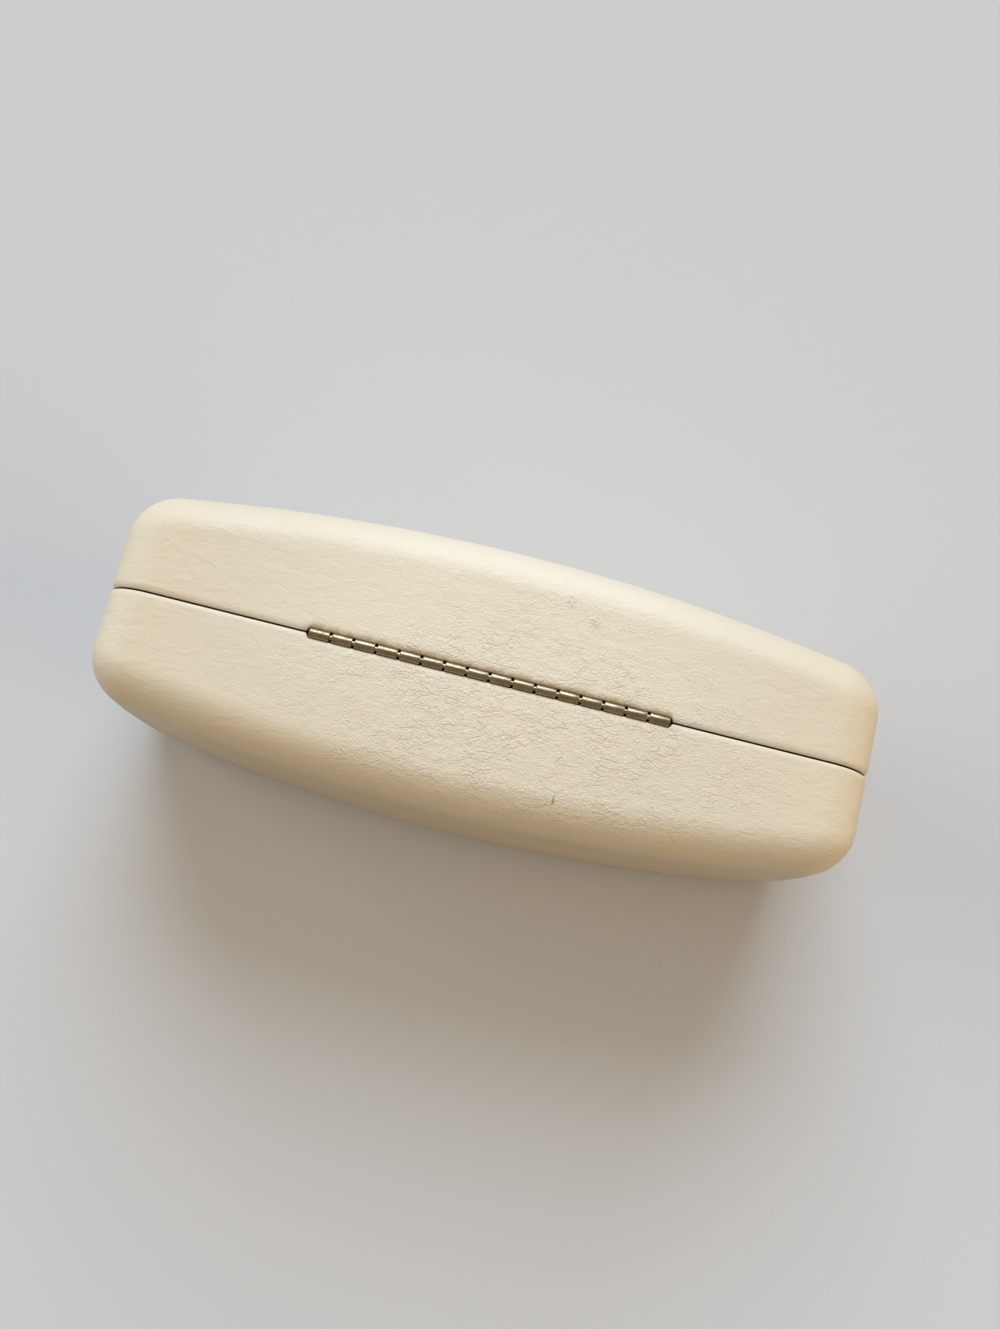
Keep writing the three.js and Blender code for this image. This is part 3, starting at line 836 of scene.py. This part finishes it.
class CASE_OT_covers(bpy.types.Operator):
    """Leatherette over both halves, rolled over the rims and turned in behind the shells' edges"""

    bl_idname = "sunglasses_case.covers"
    bl_label = "Covers"

    ROLL_POINTS, TURN_POINTS, HEM_POINTS = 11, 6, 4
    # Swells and folds of the skin, in millimetres along X, Y and Z
    SWELL_SIZE = (30, 13, 13)
    FOLD_SIZE = (11, 3.6, 3.6)
    FOLD_SHIFT = (40, 0, 0)
    FOLD_SHARE = 0.6
    SWELL_START = 1 * MM
    # The rim is flatter and darkened: painted shade, far less on the lid, which faces the key lamp, and most
    # of all beside the hinge, a stain that is partly painted shade
    RIM_BAND = 2 * MM
    RIM_FLATNESS = 0.8
    LID_SHADE_SHARE = 0.06
    PAST_HINGE, HINGE_FADE = 3 * MM, 4 * MM
    BACK_BAND, BACK_FADE = 1.2 * MM, 1 * MM

    def execute(self, context):
        case = context.scene.sunglasses_case
        for half, roll in zip(HALVES, (case.form.base_rim, case.form.lid_rim)):
            mesh = self.cover_mesh(case, f"{half}_leatherette", roll)
            add_half(half, mesh, finish("Leatherette", leatherette), "cover")
            self.unevenness(mesh, case)
        return {"FINISHED"}

    def cover_mesh(self, case, name, roll):
        half = HalfForm(case, line_steps=150, corner_steps=12, end_steps=50)
        layers, at = case.layers, half.at
        drop = case.form.rim_height
        turn_in = at.hem_inner - drop
        lip = layers.cover

        def rim(x, z):
            return case.form.seam_gap / 2 + (at.relief - case.form.seam_gap / 2) * half.beside_hinge(x, z)

        def trimmed(inset, rise):
            """A ring of the turned-in part, which is cut away over the hinge leaf."""
            ring = half.ring(inset, lambda x, z: rim(x, z) + rise)
            over_leaf = half.beside_hinge(ring[:, 0], ring[:, 2], case.hinge.clearance)
            least_z = case.form.depth - at.shell_inner + layers.bond_line
            most_y = rim(ring[:, 0], ring[:, 2]) + lip
            ring[:, 2] += over_leaf * np.maximum(least_z - ring[:, 2], 0)
            ring[:, 1] -= over_leaf * np.maximum(ring[:, 1] - most_y, 0)
            return ring

        rings = half.dish(0, 0, lambda x, z: rim(x, z) + roll, wall_steps=24, edge_steps=14)[::-1]
        for turn in np.linspace(0, math.pi / 2, self.ROLL_POINTS)[1:]:
            inset, rise = drop * (1 - math.cos(turn)), roll * (1 - math.sin(turn))
            rings.append(half.ring(inset, lambda x, z: rim(x, z) + rise))
        for turn in np.linspace(0, math.pi / 2, self.TURN_POINTS)[1:]:
            rings.append(trimmed(drop + turn_in * math.sin(turn), turn_in * (1 - math.cos(turn))))
        for rise in np.linspace(turn_in, layers.hem_length, self.HEM_POINTS)[1:]:
            rings.append(trimmed(at.hem_inner, rise))
        rings.append(trimmed(at.hem_outer, layers.hem_length))
        rings.append(trimmed(at.hem_outer, lip))
        rings += half.dish(lip, lip, lambda x, z: rim(x, z) + lip, wall_steps=2, edge_steps=6)
        return half.mesh(name, rings, 0, lip)

    def unevenness(self, mesh, case):
        """Low swells in the outer skin, and how near each point is to the rim and to the hinge, as masks for
        painted shade along the rims and a stain beside the hinge, both mostly on the base.
        """
        form, at = case.form, levels(case)
        points = read_vectors(mesh.vertices, "co")
        normals = read_vectors(mesh.vertex_normals, "vector")
        x, y, z = points.T
        along = smooth((at.hinge_half + self.PAST_HINGE - np.abs(x)) / self.HINGE_FADE)
        by_hinge = along * smooth((z - form.depth + self.BACK_BAND) / self.BACK_FADE)
        edge = form.seam_gap / 2 + (at.relief - form.seam_gap / 2) * by_hinge
        rim = 1 - smooth((np.abs(y) - edge) / self.RIM_BAND)
        swells = [noise.noise(Vector(p)) for p in points / MM / self.SWELL_SIZE]
        folds = [noise.noise(Vector(p)) for p in points / MM / self.FOLD_SIZE + self.FOLD_SHIFT]
        lift = np.array(swells) + self.FOLD_SHARE * np.array(folds)
        outside = (normals * (points - (0, 0, form.depth / 2))).sum(1) > 0
        outside &= np.abs(y) > self.SWELL_START
        shift = case.layers.swell * lift * (1 - self.RIM_FLATNESS * rim) * outside
        mesh.vertices.foreach_set("co", (points + shift[:, None] * normals).astype(np.float32).ravel())
        # Painted shade along the rims, far less on the lid, which faces the key lamp
        shade_and_stain_mask = rim * np.where(y > 0, 1.0, self.LID_SHADE_SHARE)
        for name, values in (("rim", shade_and_stain_mask), ("hinge_rim", shade_and_stain_mask * by_hinge)):
            mesh.attributes.new(name, "FLOAT", "POINT").data.foreach_set("value", values.astype(np.float32))
        mesh.update()


class CASE_OT_padding(bpy.types.Operator):
    """Foam sheets between the crowns' leatherette and the shells"""

    bl_idname = "sunglasses_case.padding"
    bl_label = "Padding"

    def execute(self, context):
        case = context.scene.sunglasses_case
        form = HalfForm(case, line_steps=48, corner_steps=6, end_steps=16)
        top, bottom = form.at.padding_top, form.at.padding_bottom
        for half in HALVES:
            upper = form.dish(top, top, edge_steps=8, first_step=4)
            lower = form.dish(top, bottom, edge_steps=8, first_step=4)
            mesh = form.mesh(f"{half}_foam", upper[::-1] + lower, top, bottom)
            piece = add_half(half, mesh, finish("Foam", foam), "padding")
        return {"FINISHED"}


class CASE_OT_shells(bpy.types.Operator):
    """Finish of the pressed steel shells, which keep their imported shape"""

    bl_idname = "sunglasses_case.shells"
    bl_label = "Shells"

    def execute(self, context):
        for half in HALVES:
            shell = frame["nodes"][f"{half}_shell"]
            shell.data.materials.clear()
            shell.data.materials.append(finish("Pressed Steel", pressed_steel))
        return {"FINISHED"}


class CASE_OT_linings(bpy.types.Operator):
    """Velour trays inside both halves, notched along the hinge"""

    bl_idname = "sunglasses_case.linings"
    bl_label = "Linings"

    EDGE_POINTS = 9

    def execute(self, context):
        case = context.scene.sunglasses_case
        for half in HALVES:
            mesh = self.lining_mesh(case, f"{half}_velour")
            add_half(half, mesh, finish("Velour", velour), "lining")
        return {"FINISHED"}

    def lining_mesh(self, case, name):
        half = HalfForm(case, line_steps=120, corner_steps=8, end_steps=30)
        at, layers = half.at, case.layers
        step = case.form.seam_gap / 2 + layers.lining_step
        round_edge = layers.lining / 2

        def edge(x, z):
            return step + (at.notch - step) * half.beside_hinge(x, z) + round_edge

        rings = half.dish(at.lining_outer, at.lining_top, edge, wall_steps=4, edge_steps=8)[::-1]
        for turn in np.linspace(0, math.pi, self.EDGE_POINTS)[1:-1]:
            inset = at.lining_outer + round_edge * (1 - math.cos(turn))
            rings.append(half.ring(inset, lambda x, z: edge(x, z) - round_edge * math.sin(turn)))
        rings += half.dish(at.lining_inner, at.lining_bottom, edge, wall_steps=12, edge_steps=10)
        return half.mesh(name, rings, at.lining_top, at.lining_bottom)


class CASE_OT_hinge(bpy.types.Operator):
    """Two hinge leaves with rolled knuckles, and the pin through them"""

    bl_idname = "sunglasses_case.hinge"
    bl_label = "Hinge"

    PIN_SIDES = 32
    PIN_ROUND, PIN_ROUND_STEPS = 0.35, 3

    def execute(self, context):
        case = context.scene.sunglasses_case
        metal = finish("Hinge Metal", hinge_metal)
        for half in HALVES:
            mesh = self.leaf_mesh(case, f"{half}_leaf", metal)
            add_half(half, mesh, metal, "hinge_leaf")
        pin = add_piece(self.pin_mesh(case), metal, "hinge_pin")
        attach(pin, "base")
        return {"FINISHED"}

    def leaf_mesh(self, case, name, metal):
        """Plate with two windows, the tabs bent down beside them and every second knuckle, in one mesh."""
        at, hinge, inside = levels(case), case.hinge, case.inside
        tab_back = hinge.tab_offset + hinge.leaf_thickness
        tab_ends = [s * inside.clip_spread + e * hinge.tab_width / 2 for s in (-1, 1) for e in (-1, 1)]
        xs = [-at.hinge_half, *tab_ends, at.hinge_half]
        ys = [at.relief, hinge.tab_offset, tab_back, tab_back + hinge.tab_height, hinge.leaf_width]
        bm = bmesh.new()
        grid = [[bm.verts.new((x, y, at.leaf_z)) for y in ys] for x in xs]
        for i in range(len(xs) - 1):
            for j in range(len(ys) - 1):
                window = i in (1, 3) and j == 2
                if not window:
                    bm.faces.new((grid[i][j], grid[i + 1][j], grid[i + 1][j + 1], grid[i][j + 1]))
        raised = bmesh.ops.extrude_face_region(bm, geom=bm.faces[:])["geom"]
        up = [v for v in raised if isinstance(v, bmesh.types.BMVert)]
        bmesh.ops.translate(bm, verts=up, vec=(0, 0, hinge.leaf_thickness))
        bmesh.ops.recalc_face_normals(bm, faces=bm.faces)

        def is_tab(face):
            x, y, _ = face.calc_center_median()
            by_clip = abs(abs(x) - inside.clip_spread) < hinge.tab_width / 2
            return face.normal.z < -0.5 and hinge.tab_offset < y < tab_back and by_clip

        tabs = [face for face in bm.faces if is_tab(face)]
        lowered = bmesh.ops.extrude_discrete_faces(bm, faces=tabs)["faces"]
        bmesh.ops.delete(bm, geom=[f for f in tabs if f.is_valid], context="FACES_ONLY")
        down = {v for f in lowered for v in f.verts}
        bmesh.ops.translate(bm, verts=list(down), vec=(0, 0, -hinge.tab_height))
        knuckles = self.knuckle_mesh(case, metal)
        bm.from_mesh(knuckles)
        bpy.data.meshes.remove(knuckles)
        bmesh.ops.recalc_face_normals(bm, faces=bm.faces)
        return smooth_mesh(bm, bpy.data.meshes.new(name), LEAF_SHARP_EDGE)

    def knuckle_mesh(self, case, metal):
        """The base leaf's fingers, rolled and repeated by geometry nodes."""
        at, hinge = levels(case), case.hinge
        sizes = {
            "Count": hinge.knuckle_count // 2,
            "First": -at.hinge_half + hinge.knuckle_pitch + (hinge.knuckle_pitch - hinge.knuckle_gap) / 2,
            "Spacing": 2 * hinge.knuckle_pitch,
            "Width": hinge.knuckle_pitch - hinge.knuckle_gap,
            "Thickness": hinge.leaf_thickness,
            "Radius": at.bore + hinge.leaf_thickness / 2,
            "Finger": at.relief + hinge.leaf_thickness,
            "Curl": hinge.curl_angle,
            "Axis Height": AXIS_Z,
            "Edge Round": hinge.edge_round,
        }
        return mesh_from_nodes("knuckles", rolled_knuckles_tree(sizes, metal), sizes)

    def pin_mesh(self, case):
        at, hinge = levels(case), case.hinge
        radius = hinge.pin_diameter / 2
        length = 2 * (at.hinge_half - hinge.pin_recess)
        bm = bmesh.new()
        made = bmesh.ops.create_cone(
            bm, cap_ends=True, segments=self.PIN_SIDES, radius1=radius, radius2=radius, depth=length
        )
        bmesh.ops.rotate(bm, verts=made["verts"], matrix=Matrix.Rotation(math.pi / 2, 3, "Y"))
        rims = [e for e in bm.edges if abs(e.verts[0].co.x - e.verts[1].co.x) < SAME_POINT]
        bmesh.ops.bevel(
            bm, geom=rims, offset=radius * self.PIN_ROUND, segments=self.PIN_ROUND_STEPS, affect="EDGES"
        )
        bmesh.ops.translate(bm, verts=bm.verts, vec=(0, 0, AXIS_Z))
        return smooth_mesh(bm, bpy.data.meshes.new("pin"), SHARP_EDGE)


PATH_POINTS = 56
ROUND_POINTS = 3


def rolled_knuckles_tree(sizes, metal):
    """Fingers of a hinge leaf: a strip that runs in under the pin and is rolled round it, along X."""
    tree = bpy.data.node_groups.new("Rolled Knuckles", "GeometryNodeTree")
    tree.interface.new_socket("Geometry", in_out="OUTPUT", socket_type="NodeSocketGeometry")
    for label, value in sizes.items():
        kind = "NodeSocketInt" if isinstance(value, int) else "NodeSocketFloat"
        tree.interface.new_socket(label, in_out="INPUT", socket_type=kind)
    given = tree.nodes.new("NodeGroupInput").outputs

    def number(operation, *values):
        return math_node(tree, operation, *values)

    def vector(**parts):
        return node(tree, "ShaderNodeCombineXYZ", parts).outputs[0]

    def shape(kind, inputs, **settings):
        return node(tree, f"GeometryNode{kind}", inputs, **settings).outputs[0]

    rolled = number("MULTIPLY", given["Radius"], given["Curl"])
    whole = number("ADD", given["Finger"], rolled)
    line = shape("CurvePrimitiveLine", {"End": vector(Y=number("MULTIPLY", whole, -1.0))})
    line = shape("ResampleCurve", {"Curve": line, "Count": PATH_POINTS})
    along = node(tree, "GeometryNodeSplineParameter").outputs["Length"]
    past = number("SUBTRACT", along, given["Finger"])
    turn = number("DIVIDE", number("MAXIMUM", past, 0.0), given["Radius"])
    before = number("MAXIMUM", number("MULTIPLY", past, -1.0), 0.0)
    y = number("SUBTRACT", before, number("MULTIPLY", number("SINE", turn), given["Radius"]))
    drop = number("MULTIPLY", number("COSINE", turn), given["Radius"])
    z = number("SUBTRACT", given["Axis Height"], drop)
    path = shape("SetPosition", {"Geometry": line, "Position": vector(Y=y, Z=z)})
    section = shape("CurvePrimitiveQuadrilateral", {"Width": given["Width"], "Height": given["Thickness"]})
    corners = {"Curve": section, "Radius": given["Edge Round"], "Count": ROUND_POINTS}
    section = shape("FilletCurve", corners, mode="POLY")
    finger = shape("CurveToMesh", {"Curve": path, "Profile Curve": section, "Fill Caps": True})
    start, offset = vector(X=given["First"]), vector(X=given["Spacing"])
    places = shape("MeshLine", {"Count": given["Count"], "Start Location": start, "Offset": offset})
    copies = shape("InstanceOnPoints", {"Points": places, "Instance": finger})
    real = shape("RealizeInstances", {"Geometry": copies})
    finished = shape("SetMaterial", {"Geometry": real, "Material": metal})
    feed(tree, finished, tree.nodes.new("NodeGroupOutput").inputs[0])
    return tree


def mesh_from_nodes(name, tree, sizes):
    """The plain mesh that a geometry node tree gives for these sizes."""
    holder = bpy.data.objects.new(name, bpy.data.meshes.new(name))
    bpy.context.scene.collection.objects.link(holder)
    modifier = holder.modifiers.new(name, "NODES")
    modifier.node_group = tree
    for item in tree.interface.items_tree:
        if item.in_out == "INPUT":
            modifier[item.identifier] = sizes[item.name]
    holder.update_tag()
    evaluated = holder.evaluated_get(bpy.context.evaluated_depsgraph_get())
    mesh = bpy.data.meshes.new_from_object(evaluated)
    bpy.data.objects.remove(holder)
    return mesh


class CASE_OT_clips(bpy.types.Operator):
    """Two bowed spring clips over the leaves' tabs"""

    bl_idname = "sunglasses_case.clips"
    bl_label = "Spring Clips"

    BOW_POINTS, LEG_POINTS, WIDTH_POINTS = 33, 5, 7

    def execute(self, context):
        case = context.scene.sunglasses_case
        at, inside = levels(case), case.inside
        reach = at.clip_half + inside.clip_thickness / 2
        rise = inside.clip_rise + inside.clip_thickness / 2
        level = at.clip_foot_z
        turn = np.linspace(0, math.pi, self.BOW_POINTS)
        bow = np.column_stack([reach * np.cos(turn), level - rise * np.sin(turn)])
        leg = np.linspace(at.leaf_z - inside.clip_clearance, level, self.LEG_POINTS)[:-1]
        legs = np.column_stack([np.full_like(leg, reach), leg])
        path = np.concatenate([legs, bow, legs[::-1] * (-1, 1)])
        across = np.linspace(-1, 1, self.WIDTH_POINTS) * inside.clip_width / 2
        for side, name in ((-1, "left"), (1, "right")):
            stations = side * inside.clip_spread + across
            mesh = strip_mesh(f"clip_{name}", path, stations, inside.clip_thickness)
            metal = finish("Spring Steel", spring_steel)
            piece = add_piece(mesh, metal, f"snap_spring_{name}")
            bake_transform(piece)
        return {"FINISHED"}


class CASE_OT_gusset(bpy.types.Operator):
    """Velour strip over the hinge and the clips, glued to both linings"""

    bl_idname = "sunglasses_case.gusset"
    bl_label = "Gusset"

    ACROSS_POINTS, ALONG_POINTS = 61, 121

    def execute(self, context):
        case = context.scene.sunglasses_case
        form, inside, layers, at = case.form, case.inside, case.layers, levels(case)
        flange_start = at.notch + inside.gusset_lap
        flange_end = at.notch + inside.gusset_flange
        flange_z = form.depth - at.lining_inner - layers.bond_line - inside.gusset_thickness / 2
        bow_z = at.clip_foot_z - inside.clip_rise - inside.clip_thickness - inside.gusset_slack
        bow_z -= inside.gusset_thickness / 2
        across = np.linspace(flange_end, -flange_end, self.ACROSS_POINTS)
        bow = smooth(1 - np.abs(across) / flange_start)
        path = np.column_stack([across, flange_z + (bow_z - flange_z) * bow])
        half_length = at.hinge_half + inside.gusset_margin
        stations = np.linspace(-half_length, half_length, self.ALONG_POINTS)
        mesh = strip_mesh("gusset", path, stations, inside.gusset_thickness)
        piece = add_piece(mesh, finish("Velour", velour), "hinge_gusset")
        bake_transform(piece)
        return {"FINISHED"}


class CASE_OT_stage(bpy.types.Operator):
    """Pale floor, soft lamps and the camera"""

    bl_idname = "sunglasses_case.stage"
    bl_label = "Stage"

    FLOOR_HALF = 6.0
    LAMP_SIDES = {"key": (-0.12, 0.84, 0.61), "left": (-0.95, 0.1, 0.37), "right": (0.95, -0.1, 0.37)}

    def execute(self, context):
        scene = context.scene
        studio = scene.sunglasses_case.studio
        self.floor(scene, studio)
        self.ambient(scene, studio)
        for name, side in self.LAMP_SIDES.items():
            self.lamp(scene, studio, name, side)
        self.camera(scene, studio)
        scene.view_settings.view_transform = "Standard"
        return {"FINISHED"}

    def floor(self, scene, studio):
        """A floor that looks pale, but throws less light back at the case."""
        mesh = bpy.data.meshes.new("floor")
        bm = bmesh.new()
        bmesh.ops.create_grid(bm, x_segments=1, y_segments=1, size=self.FLOOR_HALF)
        bm.to_mesh(mesh)
        bm.free()
        material, tree, sockets = new_finish("Floor", Roughness=0.9, Specular_IOR_Level=0.1)
        path = tree.nodes.new("ShaderNodeLightPath").outputs
        seen = largest(tree, *(path[f"Is {ray} Ray"] for ray in ("Camera", "Glossy", "Transmission")))
        feed(tree, blend_colours(tree, seen, studio.floor_bounce, studio.floor), sockets["Base Color"])
        mesh.materials.append(material)
        floor = bpy.data.objects.new("floor", mesh)
        scene.collection.objects.link(floor)

    def ambient(self, scene, studio):
        world = bpy.data.worlds.new("Studio")
        world.use_nodes = True
        background = world.node_tree.nodes["Background"].inputs
        feed(world.node_tree, studio.ambient_tint, background["Color"])
        feed(world.node_tree, studio.ambient, background["Strength"])
        scene.world = world

    def lamp(self, scene, studio, name, side):
        """A broad, even light that falls from one side towards the origin."""
        data = bpy.data.lights.new(name, "SUN")
        data.energy = getattr(studio, f"{name}_strength")
        data.color = getattr(studio, f"{name}_tint")
        data.angle = studio.lamp_width
        lamp = bpy.data.objects.new(name, data)
        lamp.location = side
        lamp.rotation_euler = (-Vector(side)).to_track_quat("-Z", "Y").to_euler()
        scene.collection.objects.link(lamp)

    def camera(self, scene, studio):
        data = bpy.data.cameras.new("camera")
        longest = max(PHOTO_WIDTH, PHOTO_HEIGHT)
        data.lens = studio.focal_pixels * data.sensor_width / longest
        data.shift_x = (PHOTO_WIDTH / 2 - studio.centre[0]) / longest
        data.shift_y = (studio.centre[1] - PHOTO_HEIGHT / 2) / longest
        data.clip_start, data.clip_end = 0.01, 50.0
        turned = Matrix.Rotation(-studio.yaw, 3, "Y")
        along = turned @ Vector((1, 0, 0))
        across = turned @ Vector((0, math.cos(studio.tilt), math.sin(studio.tilt)))
        back = turned @ Vector((0, -math.sin(studio.tilt), math.cos(studio.tilt)))
        right = along * math.cos(studio.roll) + across * math.sin(studio.roll)
        up = across * math.cos(studio.roll) - along * math.sin(studio.roll)
        turn = Matrix((right, up, back)).transposed().to_4x4()
        place = Vector((0, 0, AXIS_Z)) + back * studio.camera_distance
        camera = bpy.data.objects.new("camera", data)
        camera.matrix_world = Matrix.Translation(place) @ turn
        scene.collection.objects.link(camera)
        scene.camera = camera


class CASE_PT_panel(bpy.types.Panel):
    """Lists the settings and the pieces of the case"""

    bl_idname = "CASE_PT_panel"
    bl_label = "Sunglasses Case"
    bl_space_type = "VIEW_3D"
    bl_region_type = "UI"
    bl_category = "Case"

    def draw(self, context):
        case = context.scene.sunglasses_case
        for group in (case.form, case.layers, case.hinge, case.inside, case.finishes, case.studio):
            column = self.layout.box().column()
            for key in group.__annotations__:
                column.prop(group, key)
        for operator in OPERATORS:
            self.layout.operator(operator.bl_idname)


OPERATORS = (
    CASE_OT_covers,
    CASE_OT_padding,
    CASE_OT_shells,
    CASE_OT_linings,
    CASE_OT_hinge,
    CASE_OT_clips,
    CASE_OT_gusset,
    CASE_OT_stage,
)
SETTINGS = (CaseForm, CaseLayers, PianoHinge, ClipsAndGusset, CaseFinishes, StudioSet, CaseSettings)


def register():
    for cls in (*SETTINGS, *OPERATORS, CASE_PT_panel):
        bpy.utils.register_class(cls)
    bpy.types.Scene.sunglasses_case = PointerProperty(type=CaseSettings)


def unregister():
    del bpy.types.Scene.sunglasses_case
    for cls in reversed((*SETTINGS, *OPERATORS, CASE_PT_panel)):
        bpy.utils.unregister_class(cls)


def main():
    register()
    bpy.ops.sunglasses_case.covers()
    bpy.ops.sunglasses_case.padding()
    bpy.ops.sunglasses_case.shells()
    bpy.ops.sunglasses_case.linings()
    bpy.ops.sunglasses_case.hinge()
    bpy.ops.sunglasses_case.clips()
    bpy.ops.sunglasses_case.gusset()
    bpy.ops.sunglasses_case.stage()


if __name__ == "__main__":
    main()
